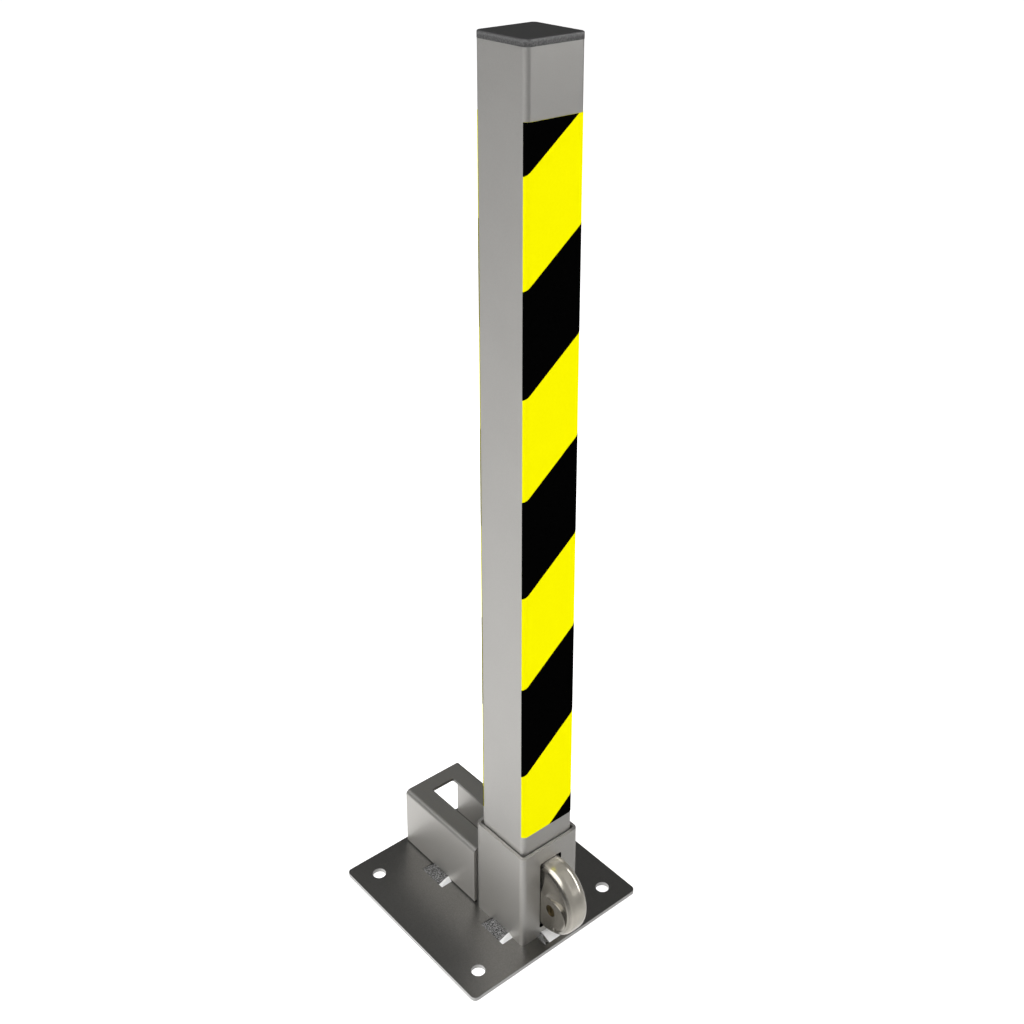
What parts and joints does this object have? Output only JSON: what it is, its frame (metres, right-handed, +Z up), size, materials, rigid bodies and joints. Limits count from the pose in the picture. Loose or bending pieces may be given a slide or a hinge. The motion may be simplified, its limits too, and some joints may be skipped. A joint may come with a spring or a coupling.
{
  "type": "security bollard",
  "caption": "Lift-out square steel parking post with striped tape and end cap, standing in a slotted socket on an anchored plate, with a keyed disc lock and a rear storage channel.",
  "frame": {"origin": "centre of the four anchor holes, on the underside of the base plate", "axes": "+Z up along the post, -Y out of the front with the lock, +X to the right seen from the front"},
  "size_m": [0.202, 0.226, 0.842],
  "materials": {
    "plate": "dark grey, fine textured",
    "housing": "satin zinc grey, bare",
    "post": "satin zinc grey, bare",
    "weld": "dark, rough, bright at one end",
    "cap": "matt charcoal",
    "tape_yellow": "smooth yellow film",
    "tape_black": "smooth black film",
    "lock_steel": "polished turned steel",
    "lock_inner": "plain machined steel",
    "key_brass": "dull dark brass"
  },
  "bodies": {
    "base": {"base_plate": "plate", "socket_tube": "housing", "rear_channel": "housing", "socket_side_welds": "weld", "socket_front_weld": "weld", "channel_welds": "weld"},
    "post": {"post_tube": "post", "cross_pin": "lock_inner", "end_cap": "cap", "front_tape": "tape_yellow", "front_bands": "tape_black", "rear_tape": "tape_yellow", "rear_bands": "tape_black"},
    "lock": {"lock_body": "lock_steel", "lock_barrel": "key_brass"},
    "key": {"key_plug": "key_brass", "hook_cam": "lock_inner"}
  },
  "joints": [
    {"name": "post_lift", "type": "slide", "parent": "base", "child": "post", "axis": [0, 0, 1], "range_m": [0, 0.1]},
    {"name": "lock_pull", "type": "slide", "parent": "base", "child": "lock", "axis": [0, -1, 0], "range_m": [0, 0.045]},
    {"name": "key_turn", "type": "hinge", "parent": "lock", "child": "key", "pos_m": [0.004, -0.098, 0.044], "axis": [-1, 0, 0], "range_deg": [0, 90]}
  ]
}
